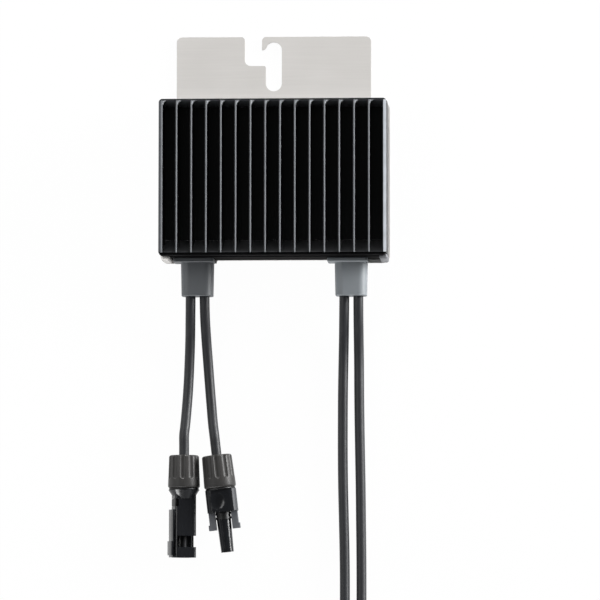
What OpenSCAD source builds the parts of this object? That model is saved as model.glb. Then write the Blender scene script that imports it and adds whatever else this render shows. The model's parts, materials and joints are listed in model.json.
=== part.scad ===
// Power optimizer for one solar panel: a finned cast housing screwed to a flat sheet bracket.
// Two short input leads end in connectors. Two output leads are coiled and tied for storage.
// The bracket's rear face lies at z = 0, the fins point to +Z and the bracket's tab to +Y.
// All lengths are in millimetres and all angles in degrees.

/* [Housing] */
// Width across all the fins
sink_w = 129.5; // [122:0.5:140]
// Length along the fins
sink_l = 89.2; // [86:0.1:110]
// Height of the fin tips above the bracket's rear face
total_h = 33.5; // [28:0.5:42]
// Radius of the housing's upright corners
sink_corner_r = 2; // [1:0.25:4]
// Number of fins, both side walls included
fin_count = 16; // [12:1:18]
// Thickness of a fin
fin_t = 1.2; // [1:0.1:2.2]
// Metal between a channel's floor and the electronics
floor_t = 2.5; // [1.5:0.1:3]
// Thickness of the housing's side walls
wall_t = 2.2; // [1.8:0.1:3]
// Wall that closes the channels at the tab's end
rim_top = 1; // [0.6:0.1:2]
// Wall that closes the channels at the leads' end
rim_bottom = 1.4; // [0.8:0.1:2.4]
// How far these end walls stay below the fin tips
rim_drop = 0.8; // [0.2:0.1:2]
// Run of the channels' slope at the tab's end
slope_top = 2; // [0.5:0.25:5]
// Run of the channels' slope at the leads' end
slope_bottom = 8.5; // [5:0.25:12]
// Height of the stepped-out skirt above the bracket sheet
skirt_h = 22; // [20:0.5:26]
// Step of the skirt beyond the fins' outline
skirt_step = 0.4; // [0.2:0.05:1]

/* [Bracket] */
// Thickness of the bracket sheet
sheet_t = 1.5; // [1:0.1:2.5]
// Sheet that shows around the housing's skirt
plate_margin = 0.6; // [0.5:0.1:4]
// Reach of the plate's two lower ears beyond the skirt
ear_reach = 1.9; // [1:0.1:4]
// Width of an ear
ear_w = 32; // [28:0.5:45]
// Sheet that shows below the skirt between the ears
ear_lip = 0.2; // [0.1:0.1:0.8]
// Radius in the inner corner of an ear
ear_r = 1; // [0.4:0.1:1.4]
// Radius of the plate's corners
plate_corner_r = 4; // [1:0.5:8]
// Width of the tab
tab_w = 112; // [90:1:118]
// Reach of the tab beyond the fins
tab_reach = 39.3; // [36:0.1:60]
// Sideways place of the tab's centre line
tab_x = -1; // [-4:0.5:4]
// Radius of the tab's outer corners
tab_corner_r = 3; // [1:0.5:6]
// Width of the bolt slot
slot_w = 9.2; // [7:0.2:11]
// Distance of the slot's upper end below the tab's edge
slot_top = 3; // [2:0.5:6]
// Distance of the slot's lower end below the tab's edge
slot_bottom = 31.5; // [26:0.5:34]
// Width of the mouth that leads into the slot
mouth_w = 9.9; // [8:0.1:14]
// Distance of the mouth's near side from the slot's centre line
mouth_near = 6.8; // [6:0.1:9]
// Depth of the mouth below the tab's edge
mouth_depth = 16.8; // [14:0.2:22]
// Length of the hook between the mouth and the slot
hook_l = 7.6; // [6:0.2:9]
// Radius of the mouth's upper corners
mouth_edge_r = 2.3; // [1:0.1:4]
// Radius in the mouth's inner corner
mouth_inner_r = 3.4; // [1:0.1:5]
// Radius of the lip between the mouth and the slot
lip_r = 1.1; // [0.5:0.1:2]
// Radius inside the hook's tip
hook_r = 1.8; // [0.5:0.1:2]

/* [Cover screws and gasket] */
// Diameter of a cover screw
screw_d = 3; // [2.5:0.1:4]
// Diameter of its countersunk head
screw_head_d = 6; // [5:0.1:7]
// Length of a cover screw
screw_l = 9; // [6:0.5:10]
// Diameter of the bosses that take the screws
boss_d = 7; // [6:0.25:8]
// Distance of a boss from the fins' outline
boss_inset = 5.5; // [4.5:0.25:6]
// Thickness of the pressed gasket
gasket_t = 0.6; // [0.3:0.1:1]
// Clearance of a screw in its hole
screw_gap = 0.1; // [0.05:0.05:0.3]

/* [Electronics] */
// Width of the circuit board
board_w = 104; // [100:1:106]
// Length of the circuit board
board_l = 66; // [64:1:68]
// Thickness of the circuit board
board_t = 1.6; // [1:0.1:2]
// Height of the board above the bracket sheet
board_lift = 3.1; // [2.6:0.1:3.4]
// Diameter of the posts that carry the board
post_d = 6; // [5:0.25:7]
// Distance of the upper posts from the board's edges
post_inset = 5; // [4:0.25:6]
// Sideways place of the lower posts
post_low_x = 28; // [24:1:32]
// Diameter of a board screw
board_screw_d = 2.2; // [1.8:0.1:2.6]
// Diameter of a board screw's head
board_screw_head_d = 4.2; // [3.6:0.1:5]
// Height of a board screw's head
board_screw_head_h = 1.6; // [1:0.1:1.8]
// Length of a board screw
board_screw_l = 6; // [5:0.5:7]
// Outer diameter of the inductor's core
core_d = 26; // [20:0.5:30]
// Height of the inductor's core
core_h = 6; // [4:0.1:6.2]
// Wall of the core
core_wall = 2.6; // [2:0.1:4]
// Diameter of the core's centre post
core_post_d = 9; // [6:0.5:11]
// Height of the copper winding
winding_h = 3.6; // [2:0.1:3.8]
// Clearance of the winding in the core
winding_gap = 0.1; // [0.05:0.05:0.5]
// Place of the inductor from the board's middle
core_at = [-20, 8];
// Size of an input capacitor
film_cap = [8, 6.5, 5.6];
// Number of input capacitors
film_cap_count = 4; // [2:1:4]
// Diameter of an output capacitor
can_cap_d = 8; // [6:0.5:8.5]
// Height of an output capacitor
can_cap_h = 5.8; // [4:0.1:6.2]
// Number of output capacitors
can_cap_count = 4; // [2:1:4]
// Distance between neighbouring capacitors
cap_pitch = 10; // [9:0.5:11]
// Distance of the capacitors' rows from the board's side edges
cap_inset = 7; // [6:0.5:9]
// Shift of the capacitors' rows from the board's middle
cap_shift = 3; // [0:0.5:5]
// Size of a power transistor
transistor = [8, 6, 1.2];
// Distance between neighbouring transistors
transistor_pitch = 10; // [9:0.5:11]
// Place of the transistors from the board's middle
transistor_at = [19, 9];
// Thickness of the thermal pad
pad_t = 1; // [0.5:0.1:2]
// Edge that the pad keeps around the transistors
pad_edge = 1.5; // [0.5:0.25:3]
// Size of the control chip
chip = [10, 10, 1.2];
// Place of the control chip from the board's middle
chip_at = [6, -14];
// Diameter of the signal transformer
signal_d = 9; // [7:0.5:11]
// Height of the signal transformer
signal_h = 5; // [3:0.1:6]
// Place of the signal transformer from the board's middle
signal_at = [-6, -20];
// Width of a lead terminal
terminal_w = 5.6; // [4.5:0.1:6.5]
// Length of a lead terminal
terminal_l = 7; // [5:0.5:8]
// Metal of a terminal above its conductor
terminal_wall = 0.6; // [0.4:0.1:0.9]
// Diameter of a lead's bare conductor
conductor_d = 2.6; // [2:0.1:2.8]
// Clearance between the tallest part on the board and the housing's ceiling
room_gap = 0.6; // [0.3:0.1:3]

/* [Boots and leads] */
// Distance of a boot's middle from the fins' outer side
boot_inset = 20.75; // [18:0.25:24]
// Width of a boot at its flange
boot_w = 18.8; // [17:0.2:21]
// Width of a boot at its end
boot_tip_w = 18; // [17:0.2:21]
// Height of a boot
boot_h = 15; // [12:0.25:16]
// Radius of a boot's long edges
boot_r = 5; // [2:0.25:5.5]
// Reach of a boot beyond the fins
boot_reach = 22; // [18:0.5:30]
// Width of a boot's flange
boot_flange_w = 23; // [22:0.5:27]
// Height of a boot's flange
boot_flange_h = 17; // [16:0.25:17]
// Thickness of a boot's flange
boot_flange_t = 2.3; // [1.5:0.1:3.5]
// Radius of the flange's corners
boot_flange_r = 1.5; // [1:0.5:7]
// Shift of the flange to -X against the boot
boot_flange_shift = 2; // [0:0.25:2.25]
// Width of the plug through the wall
plug_w = 16.6; // [15.5:0.1:17]
// Height of the plug through the wall
plug_h = 10; // [8.5:0.1:11]
// Length of the plug inside the wall
plug_over = 2; // [1:0.25:3]
// Clearance of the plug in its hole
plug_gap = 0.1; // [0.05:0.05:0.3]
// Diameter of a lead
lead_d = 5.7; // [5:0.1:6.2]
// Distance between the two leads of a boot
lead_pitch = 8; // [7:0.25:8.5]
// Height of the leads in the boots
lead_z = 10.5; // [10.5:0.1:10.8]
// Clearance around a lead
lead_gap = 0.1; // [0.05:0.05:0.3]
// Length of sheathed lead inside the wall
lead_inside = 5; // [3.5:0.25:6]

/* [Connectors] */
// Length of the clamping nut
nut_l = 18.8; // [16:0.2:22]
// Diameter of the nut at the lead
nut_lead_d = 17.1; // [15.5:0.1:18]
// Diameter of the nut at the body
nut_d = 18.3; // [17.5:0.1:20]
// Number of grip flutes
flute_count = 12; // [8:1:16]
// Diameter of the cutter that makes a flute
flute_d = 6; // [4:0.25:8]
// Depth of a flute at the lead's end
flute_depth = 0.6; // [0.3:0.05:1]
// Length of a flute
flute_l = 14.5; // [10:0.5:15]
// Thickness of the nut's end wall
nut_end_t = 3; // [2:0.25:4]
// Diameter of the threaded spigot in the nut
spigot_d = 12; // [11.5:0.1:13]
// Clearance between the spigot and the nut
spigot_gap = 0.2; // [0.1:0.05:0.4]
// Start of the spigot behind the nut's end wall
spigot_start = 4; // [3:0.25:5]
// Length of the cable seal
seal_l = 6; // [4:0.25:7]
// Diameter of the cable seal
seal_d = 9; // [8:0.1:9.5]
// Gap between the nut and the body
neck_l = 1; // [0.5:0.1:2]
// Diameter of a contact's crimp barrel
crimp_d = 4.2; // [3.6:0.1:4.6]
// Diameter of the contact pin
pin_d = 3; // [2:0.1:3.2]
// Length of the hollow body
hollow_body_l = 38.6; // [34:0.2:44]
// Diameter of its flange
flange_d = 17.8; // [16:0.1:18]
// Length of its tapering flange
flange_l = 5; // [3:0.25:7]
// Diameter of the flange's narrow end
barrel_d = 11.4; // [11:0.1:13]
// Width of its box-shaped shell
shell_w = 12.6; // [11.5:0.1:14]
// Height of the shell
shell_h = 10.2; // [10:0.1:11.5]
// Radius of the shell's long edges
shell_r = 2; // [0.5:0.1:3]
// Diameter of its hollow front
hollow_d = 8.4; // [8:0.1:9.4]
// Depth of its hollow front
hollow_l = 22; // [18:0.5:24]
// Length of the notch in the shell's side
notch_l = 4.4; // [2:0.2:6]
// Distance between the notch and the axis
notch_in = 4.4; // [3:0.1:5]
// Distance of the window from the front
window_front = 6; // [4:0.25:8]
// Length of the window
window_l = 6.4; // [4:0.2:8]
// Width of the window
window_w = 10.2; // [6:0.2:10.4]
// Turn of the hollow body about its axis
body_turn = 19; // [0:1:60]
// Width of the nose connector's block
block_w = 17.4; // [15:0.2:17.8]
// Height of the block
block_h = 13; // [12:0.2:14]
// Length of the block
block_l = 12.8; // [10:0.2:16]
// Radius of the block's long edges
block_r = 4; // [2:0.25:6]
// Diameter of the nose at its root
nose_root_d = 8.4; // [8:0.1:8.6]
// Diameter of the nose at its front
nose_d = 7.2; // [7:0.1:7.8]
// Length of the nose in front of the block
nose_l = 23; // [18:0.25:28]
// Length of a latch arm
arm_l = 10; // [8:0.25:14]
// Inner distance of a latch arm from the axis
arm_in = 4.6; // [4.4:0.1:5]
// Outer distance of a latch arm from the axis
arm_out = 8.2; // [7:0.1:8.4]
// Height of a latch arm
arm_h = 6; // [4:0.2:7]
// Reach of the barb beyond the arm
barb = 0.7; // [0.3:0.1:0.7]
// Length of the barb
barb_l = 3; // [2:0.25:4]
// Thickness of the sealing ring on the nose
ring_t = 0.6; // [0.45:0.05:0.7]
// Length of the sealing ring, which has two lips
ring_l = 3.8; // [2.4:0.1:4]
// Depth of the groove between the lips
lip_depth = 0.3; // [0.1:0.05:0.4]
// Depth of the ring's groove
groove_depth = 0.4; // [0.2:0.05:0.5]
// Place of the sealing ring in front of the block
ring_place = 2.25; // [2:0.25:8]

/* [Stored output leads] */
// Radius of a coil at the middle of its turns
coil_r = 31.5; // [29:0.5:36]
// Thickness of a coil's tie
tie_t = 0.8; // [0.5:0.1:1.2]
// Width of a coil's tie
tie_w = 6; // [4:0.5:10]
// Clearance between a tie and its coil
tie_gap = 0.05; // [0.05:0.05:0.2]
// Length of straight lead that runs into a coil
coil_entry = 22; // [21:0.5:26]

/* [Hidden] */
$fn = 64;
hull_fn = 32;
over = 1;
hair = 0.01;

// Places along Y, with the part's box centred on y = 0
overall_l = boot_reach + sink_l + tab_reach;
sink_bottom = -overall_l / 2 + boot_reach;
sink_top = sink_bottom + sink_l;
sink_y = sink_bottom + sink_l / 2;
tab_top = overall_l / 2;
boot_end = sink_bottom - boot_reach;
boot_seat = sink_bottom - skirt_step;

// Heights in the housing: the channels reach down to the floor above the tallest part on the board
seat_z = sheet_t + gasket_t;
skirt_top = sheet_t + skirt_h;
board_z = sheet_t + board_lift;
board_top = board_z + board_t;
terminal_h = lead_z + conductor_d / 2 + terminal_wall - board_top;
ceiling = board_top + max(core_h, film_cap.z, can_cap_h, signal_h, terminal_h) + room_gap;
channel_floor = ceiling + floor_t;
fin_depth = total_h - channel_floor;
skirt_w = sink_w + 2 * skirt_step;
skirt_l = sink_l + 2 * skirt_step;
cavity_w = sink_w - 2 * wall_t;

// Fins and channels, between the two side walls
fin_pitch = (cavity_w + fin_t) / (fin_count - 1);
channel_w = fin_pitch - fin_t;
channel_top = sink_top - rim_top;
channel_bottom = sink_bottom + rim_bottom;

// Underside of the sloped channel end, at which the cavity runs up to make room for the leads
slope_shift = floor_t * sqrt(slope_bottom * slope_bottom + fin_depth * fin_depth) / fin_depth;
cavity_bottom = sink_bottom + wall_t;
cavity_top = sink_top - wall_t;
wedge_z = total_h - (cavity_bottom - channel_bottom + slope_shift) * fin_depth / slope_bottom;
wedge_y = channel_bottom + slope_bottom - slope_shift + floor_t * slope_bottom / fin_depth;

// Bracket
plate_w = skirt_w + 2 * plate_margin;
plate_l = skirt_l + plate_margin + ear_reach;
plate_y = sink_y + (plate_margin - ear_reach) / 2;
plate_bottom = plate_y - plate_l / 2;
ear_gap = plate_w - 2 * ear_w;
slot_end_r = slot_w / 2;
mouth_floor = tab_top - mouth_depth;

// Cover screws, at the corners and at the middle of both ends
boss_x = sink_w / 2 - boss_inset;
boss_dy = sink_l / 2 - boss_inset;
boss_places = [for (x = [-boss_x, 0, boss_x], y = [-boss_dy, boss_dy]) [x, sink_y + y]];

// Circuit board and what it carries
post_high_x = board_w / 2 - post_inset;
post_dy = board_l / 2 - post_inset;
post_places = [
    [-post_high_x, sink_y + post_dy], [post_high_x, sink_y + post_dy],
    [-post_low_x, sink_y - post_dy], [post_low_x, sink_y - post_dy]
];
board_place = [0, sink_y];
core_place = board_place + core_at;
cap_x = board_w / 2 - cap_inset;
cap_y = sink_y + cap_shift;
transistor_place = board_place + transistor_at;
chip_place = board_place + chip_at;
signal_place = board_place + signal_at;
pad_w = transistor_pitch + transistor.x + 2 * pad_edge;
pad_l = transistor_pitch + transistor.y + 2 * pad_edge;
pad_z = board_top + transistor.z;
terminal_y = sink_y - board_l / 2 + terminal_l / 2;

// Leads in the boots
boot_x = sink_w / 2 - boot_inset;
lead_start = sink_bottom + wall_t + lead_inside;
input_xs = [-boot_x - lead_pitch / 2, -boot_x + lead_pitch / 2];
output_xs = [boot_x - lead_pitch / 2, boot_x + lead_pitch / 2];
lead_xs = concat(input_xs, output_xs);

// Connector lengths along its own axis, from the nut's end on the lead
spigot_z = nut_end_t + spigot_start;
crimp_z = spigot_z + seal_l + over;
body_z = nut_l + neck_l;
hollow_end = body_z + hollow_body_l;
block_end = body_z + block_l;
nose_end = block_end + nose_l;
ring_z = block_end + ring_place;
ring_r = nose_root_d / 2 - groove_depth;

// Coils: two turns wide and two turns high, on the tie that holds them
coil_in = coil_r - lead_d;
coil_out = coil_r + lead_d;
coil_top = tie_t + 2 * lead_d;
coil_lead_z = tie_t + lead_d / 2;
coil_y = -293;
plus_entry_x = 40;
minus_entry_x = 49.5;
plus_coil = [plus_entry_x - coil_r - lead_d / 2, coil_y];
minus_coil = [minus_entry_x + coil_r + lead_d / 2, coil_y];
stub_l = 8;
saddle_w = 4;

// A connector's place is the middle of its nut's end on the lead, with its heading from -Y
tail_end = [4.5, -25];
input_plus = [[-51.6, -166, nut_d / 2], 0];
input_minus = [[-33, -166, nut_d / 2], 6.6];
output_plus = [[plus_coil.x + tail_end.x, coil_y + tail_end.y, coil_top + nut_d / 2], -90];
output_minus = [[minus_coil.x - tail_end.x, coil_y + tail_end.y, coil_top + nut_d / 2], 90];

// Hand-chosen points of the leads between the boots and the connectors or coils
input_plus_route = [
    [-48.2, -88, 8.6], [-48.6, -100, 4.8], [-49.1, -112, 2.9], [-49.7, -126, 2.9], [-50.4, -138, 4.6],
    [-51.1, -150, 7.9]
];
input_minus_route = [
    [-39.8, -88, 8.6], [-39.3, -100, 4.8], [-38.5, -112, 2.9], [-37.4, -126, 2.9], [-36.3, -138, 4.6],
    [-35.1, -150, 7.9]
];
output_plus_route = [
    [39.8, -88, 8.6], [39.5, -100, 4.8], [39.2, -112, 2.9], [38.9, -130, 2.9], [38.8, -148, 2.9],
    [38.8, -166, 2.9], [39, -184, 2.9], [39.4, -202, 2.9], [39.8, -220, 2.9], [40, -238, 3.1],
    [40, -254, 3.5]
];
output_minus_route = [
    [48, -88, 8.6], [48, -100, 4.8], [48.1, -112, 2.9], [48.2, -130, 2.9], [48.4, -148, 2.9],
    [48.7, -166, 2.9], [49, -184, 2.9], [49.2, -202, 2.9], [49.4, -220, 2.9], [49.5, -238, 3.1],
    [49.5, -254, 3.5]
];
// Points of a tail over the left coil, from the coil's middle and the height of a third layer
tail_route = [
    [0, 31.5, 0], [4, 31.5, 0], [16, 27.2, 0.1], [27.3, 15.8, 0.9], [31.5, 0, 2.6], [28.2, -12.5, 4.5],
    [19, -21.6, 5.9], [6.5, -25, 6.3]
];

function boot_points(x) = [
    [x, lead_start, lead_z], [x, (lead_start + boot_end) / 2, lead_z], [x, boot_end, lead_z]
];
function axis_point(place, along) =
    place[0] + along * [sin(place[1]), -cos(place[1]), 0];
function tail_points(coil, side) = [
    for (p = tail_route) [coil.x + side * p.x, coil.y + p.y, coil_top + lead_d / 2 + p.z]
];
function unit(v) = v / norm(v);
function tangent(path, i) =
    unit(path[min(i + 1, len(path) - 1)] - path[max(i - 1, 0)]);
function ring_points(path, i, r, sides) =
    let (t = tangent(path, i), n = unit(cross(t, [0, 0, 1])), b = cross(n, t))
    [for (k = [0 : sides - 1]) path[i] + r * (cos(360 * k / sides) * n + sin(360 * k / sides) * b)];

// Flat shapes
module rounded_rect(w, l, r) {
    square([w - 2 * r, l], center = true);
    square([w, l - 2 * r], center = true);
    for (x = [-1, 1], y = [-1, 1])
        translate([x * (w / 2 - r), y * (l / 2 - r)]) circle(r);
}

// The spandrel between a square corner at p, which points to (sx, sy), and its round
module corner_spandrel(p, sx, sy, r) {
    translate([p.x - sx * r, p.y - sy * r])
        difference() {
            translate([sx > 0 ? 0 : -r - hair, sy > 0 ? 0 : -r - hair]) square(r + hair);
            circle(r);
        }
}

// Extrudes a flat shape drawn in Y and Z along X, centred on x
module along_x(w, x = 0) {
    translate([x, 0, 0]) rotate([90, 0, 90]) linear_extrude(w, center = true) children();
}

module box_on(place, size, z) {
    translate([place.x - size.x / 2, place.y - size.y / 2, z]) cube(size);
}

// Bracket: one flat sheet with a plate behind the housing and a slotted tab
module bracket_outline() {
    slot_x = tab_x;
    near_x = slot_x - mouth_near;
    far_x = near_x - mouth_w;
    difference() {
        union() {
            translate([0, plate_y]) rounded_rect(plate_w, plate_l, plate_corner_r);
            translate([tab_x, (tab_top + sink_y) / 2]) rounded_rect(tab_w, tab_top - sink_y, tab_corner_r);
        }
        translate([slot_x, tab_top - slot_top - slot_end_r]) circle(slot_end_r);
        translate([slot_x, tab_top - slot_bottom + slot_end_r]) circle(slot_end_r);
        translate([slot_x - slot_end_r, tab_top - slot_bottom + slot_end_r])
            square([slot_w, slot_bottom - slot_top - slot_w]);
        difference() {
            translate([far_x, mouth_floor]) square([mouth_w, mouth_depth + over]);
            corner_spandrel([far_x, mouth_floor], -1, -1, mouth_inner_r);
        }
        translate([near_x - hair, mouth_floor]) square([mouth_near, mouth_depth - hook_l]);
        corner_spandrel([far_x, tab_top], 1, 1, mouth_edge_r);
        corner_spandrel([near_x, tab_top], -1, 1, mouth_edge_r);
        corner_spandrel([slot_x - slot_end_r, mouth_floor], 1, 1, lip_r);
        corner_spandrel([slot_x - slot_end_r, tab_top - hook_l], 1, -1, hook_r);
        difference() {
            translate([-ear_gap / 2, plate_bottom - over]) square([ear_gap, ear_reach - ear_lip + over]);
            for (s = [-1, 1])
                corner_spandrel([s * ear_gap / 2, plate_bottom + ear_reach - ear_lip], s, 1, ear_r);
        }
    }
}

module mounting_bracket() {
    color("#c9c8c4")
        difference() {
            linear_extrude(sheet_t) bracket_outline();
            for (p = boss_places)
                translate([p.x, p.y, 0])
                    cylinder(h = sheet_t, d1 = screw_head_d + 2 * screw_gap, d2 = screw_d + 2 * screw_gap);
        }
}

module cover_gasket() {
    color("#3a3a3a")
        translate([0, 0, sheet_t])
            linear_extrude(gasket_t)
                difference() {
                    translate([0, sink_y]) rounded_rect(skirt_w, skirt_l, sink_corner_r + skirt_step);
                    translate([0, sink_y]) square([cavity_w, sink_l - 2 * wall_t], center = true);
                    for (p = boss_places) translate(p) circle(d = boss_d + 2 * screw_gap);
                }
}

// Housing: fins with closed channels above, a cavity for the electronics below
module housing_shell() {
    difference() {
        union() {
            translate([0, sink_y, seat_z])
                linear_extrude(total_h - seat_z) rounded_rect(sink_w, sink_l, sink_corner_r);
            translate([0, sink_y, seat_z])
                linear_extrude(skirt_top - seat_z)
                    rounded_rect(skirt_w, skirt_l, sink_corner_r + skirt_step);
        }
        along_x(cavity_w)
            polygon([
                [cavity_bottom, 0], [cavity_bottom, wedge_z], [wedge_y, ceiling],
                [cavity_top, ceiling], [cavity_top, 0]
            ]);
    }
}

module channel(x) {
    along_x(channel_w, x)
        polygon([
            [channel_bottom, total_h + over], [channel_bottom, total_h],
            [channel_bottom + slope_bottom, channel_floor], [channel_top - slope_top, channel_floor],
            [channel_top, total_h], [channel_top, total_h + over]
        ]);
}

module heat_sink() {
    color("#1b1c1e")
        difference() {
            union() {
                housing_shell();
                for (p = boss_places)
                    translate([p.x, p.y, sheet_t]) cylinder(h = channel_floor + floor_t - sheet_t, d = boss_d);
                for (p = post_places)
                    translate([p.x, p.y, board_top]) cylinder(h = ceiling - board_top + over, d = post_d);
                box_on(transistor_place, [pad_w, pad_l, ceiling - pad_z - pad_t + over], pad_z + pad_t);
            }
            for (i = [0 : fin_count - 2]) channel(-cavity_w / 2 + channel_w / 2 + i * fin_pitch);
            for (y = [sink_bottom - over, sink_top - rim_top])
                translate([-sink_w / 2 - over, y, total_h - rim_drop])
                    cube([sink_w + 2 * over, over + (y < sink_y ? rim_bottom : rim_top), rim_drop + over]);
            for (p = boss_places)
                translate([p.x, p.y, 0]) cylinder(h = screw_l + over, d = screw_d + 2 * screw_gap);
            for (p = post_places)
                translate([p.x, p.y, board_z])
                    cylinder(h = board_screw_l - board_screw_head_h, d = board_screw_d + 2 * screw_gap);
            for (x = [-boot_x, boot_x])
                translate([x, sink_bottom + wall_t + over, lead_z])
                    rotate([90, 0, 0])
                        linear_extrude(wall_t + 2 * over + skirt_step)
                            rounded_rect(plug_w + 2 * plug_gap, plug_h + 2 * plug_gap, plug_h / 2 - plug_gap);
        }
}

module cover_screws() {
    color("#b4b4b2")
        for (p = boss_places)
            translate([p.x, p.y, 0]) {
                cylinder(h = sheet_t, d1 = screw_head_d, d2 = screw_d);
                cylinder(h = screw_l, d = screw_d);
            }
}

// Circuit board and its parts
module circuit_board() {
    color("#1f5a35")
        difference() {
            box_on(board_place, [board_w, board_l, board_t], board_z);
            for (p = post_places)
                translate([p.x, p.y, board_z - over])
                    cylinder(h = board_t + 2 * over, d = board_screw_d + 2 * screw_gap);
        }
}

module board_screws() {
    color("#b4b4b2")
        for (p = post_places)
            translate([p.x, p.y, board_z]) {
                translate([0, 0, -board_screw_head_h]) cylinder(h = board_screw_head_h, d = board_screw_head_d);
                cylinder(h = board_screw_l - board_screw_head_h - over, d = board_screw_d);
            }
}

module inductor_core() {
    core_r = core_d / 2;
    base_t = core_h - winding_h - winding_gap;
    color("#55565a")
        translate([core_place.x, core_place.y, board_top])
            rotate_extrude()
                polygon([
                    [0, 0], [core_r, 0], [core_r, core_h], [core_r - core_wall, core_h],
                    [core_r - core_wall, base_t], [core_post_d / 2, base_t], [core_post_d / 2, core_h], [0, core_h]
                ]);
}

module inductor_winding() {
    color("#b0682e")
        translate([core_place.x, core_place.y, board_top + core_h - winding_h - winding_gap])
            difference() {
                cylinder(h = winding_h, r = core_d / 2 - core_wall - winding_gap);
                translate([0, 0, -over]) cylinder(h = winding_h + 2 * over, r = core_post_d / 2 + winding_gap);
            }
}

module input_capacitors() {
    color("#c8a24a")
        for (i = [0 : film_cap_count - 1])
            box_on([-cap_x, cap_y + (i - (film_cap_count - 1) / 2) * cap_pitch], film_cap, board_top);
}

module output_capacitors() {
    color("#9a9ca0")
        for (i = [0 : can_cap_count - 1])
            translate([cap_x, cap_y + (i - (can_cap_count - 1) / 2) * cap_pitch, board_top])
                cylinder(h = can_cap_h, d = can_cap_d);
}

module power_transistors() {
    color("#26272a")
        for (x = [-0.5, 0.5], y = [-0.5, 0.5])
            box_on(transistor_place + transistor_pitch * [x, y], transistor, board_top);
}

module thermal_pad() {
    color("#7f8ea0") box_on(transistor_place, [pad_w, pad_l, pad_t], pad_z);
}

module control_chip() {
    color("#232427") box_on(chip_place, chip, board_top);
}

module signal_transformer() {
    color("#4a4b4e")
        translate([signal_place.x, signal_place.y, board_top]) cylinder(h = signal_h, d = signal_d);
}

module lead_terminals() {
    color("#c2a04e")
        for (x = lead_xs)
            difference() {
                box_on([x, terminal_y], [terminal_w, terminal_l, terminal_h], board_top);
                translate([x, terminal_y, lead_z])
                    rotate([90, 0, 0])
                        cylinder(h = terminal_l + 2 * over, d = conductor_d + 2 * lead_gap, center = true);
            }
}

module lead_conductors() {
    color("#b87346")
        for (x = lead_xs)
            translate([x, lead_start, lead_z])
                rotate([-90, 0, 0]) cylinder(h = terminal_y + terminal_l / 2 - lead_start, d = conductor_d);
}

// Moulded boot with a flange outside the wall and a plug through it, for two leads side by side
module boot(x) {
    boot_l = boot_reach - skirt_step;
    plug_l = skirt_step + wall_t + plug_over;
    translate([x, boot_seat, lead_z])
        rotate([90, 0, 0])
            difference() {
                union() {
                    translate([-boot_flange_shift, 0, 0])
                        linear_extrude(boot_flange_t) rounded_rect(boot_flange_w, boot_flange_h, boot_flange_r);
                    hull() {
                        translate([0, 0, boot_flange_t - hair])
                            linear_extrude(hair) rounded_rect(boot_w, boot_h, boot_r, $fn = hull_fn);
                        translate([0, 0, boot_l - hair])
                            linear_extrude(hair) rounded_rect(boot_tip_w, boot_h, boot_r, $fn = hull_fn);
                    }
                    translate([0, 0, -plug_l])
                        linear_extrude(plug_l + hair) rounded_rect(plug_w, plug_h, plug_h / 2 - plug_gap);
                }
                for (s = [-0.5, 0.5])
                    translate([s * lead_pitch, 0, -plug_l - over])
                        cylinder(h = plug_l + boot_l + 2 * over, d = lead_d + 2 * lead_gap);
            }
}

module input_boot() {
    color("#5c6064") boot(-boot_x);
}

module output_boot() {
    color("#7a7e82") boot(boot_x);
}

// A lead: one tube swept along its points
module tube(path, sides = 12) {
    n = len(path);
    rings = [for (i = [0 : n - 1]) each ring_points(path, i, lead_d / 2, sides)];
    walls = [
        for (i = [0 : n - 2], k = [0 : sides - 1])
            let (a = i * sides + k, b = i * sides + (k + 1) % sides) [a, b, b + sides, a + sides]
    ];
    first = [for (k = [sides - 1 : -1 : 0]) k];
    last = [for (k = [0 : sides - 1]) (n - 1) * sides + k];
    color("#2c2d2f") polyhedron(rings, concat([first, last], walls));
}

module input_lead(x, route, place) {
    tube(concat(boot_points(x), route, [for (a = [-2 * lead_d, -lead_d, crimp_z]) axis_point(place, a)]));
}

module output_lead(x, route, entry_x) {
    tube(concat(boot_points(x), route, [
        for (a = [lead_d, 0]) [entry_x, coil_y + coil_entry + a, coil_lead_z]
    ]));
}

module output_tail(coil, side, place) {
    tube(concat(tail_points(coil, side), [axis_point(place, crimp_z)]));
}

// Coil: the ring of all its turns, the straight lead that runs in and the saddle where the tail starts
module coil(centre, side) {
    color("#2c2d2f")
        translate([centre.x, centre.y, 0]) {
            rotate_extrude() translate([coil_in, tie_t]) square([2 * lead_d, 2 * lead_d]);
            translate([side * (coil_r + lead_d / 2), coil_entry, coil_lead_z])
                rotate([90, 0, 0]) cylinder(h = coil_entry, d = lead_d);
            translate([-side * stub_l / 2, coil_r, coil_top + lead_d / 2]) {
                rotate([0, 90, 0]) cylinder(h = stub_l, d = lead_d, center = true);
                translate([-stub_l / 2, -saddle_w / 2, -lead_d]) cube([stub_l, saddle_w, lead_d]);
            }
        }
}

module tie(centre, side) {
    inner = coil_in * cos(asin(tie_w / 2 / coil_in)) - tie_gap;
    color("#151515")
        translate([centre.x - side * (inner + coil_out + tie_gap) / 2, centre.y, 0])
            difference() {
                translate([0, 0, coil_top / 2 + tie_t / 2])
                    cube([coil_out + tie_gap - inner + 2 * tie_t, tie_w, coil_top + tie_t], center = true);
                translate([0, 0, coil_top / 2 + tie_t / 2])
                    cube([coil_out + tie_gap - inner, tie_w + 2 * over, 2 * lead_d], center = true);
            }
}

// Connectors, drawn along +Z from the nut's end on the lead
module on_axis(place) {
    translate(place[0]) rotate([90, 0, place[1]]) children();
}

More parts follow.
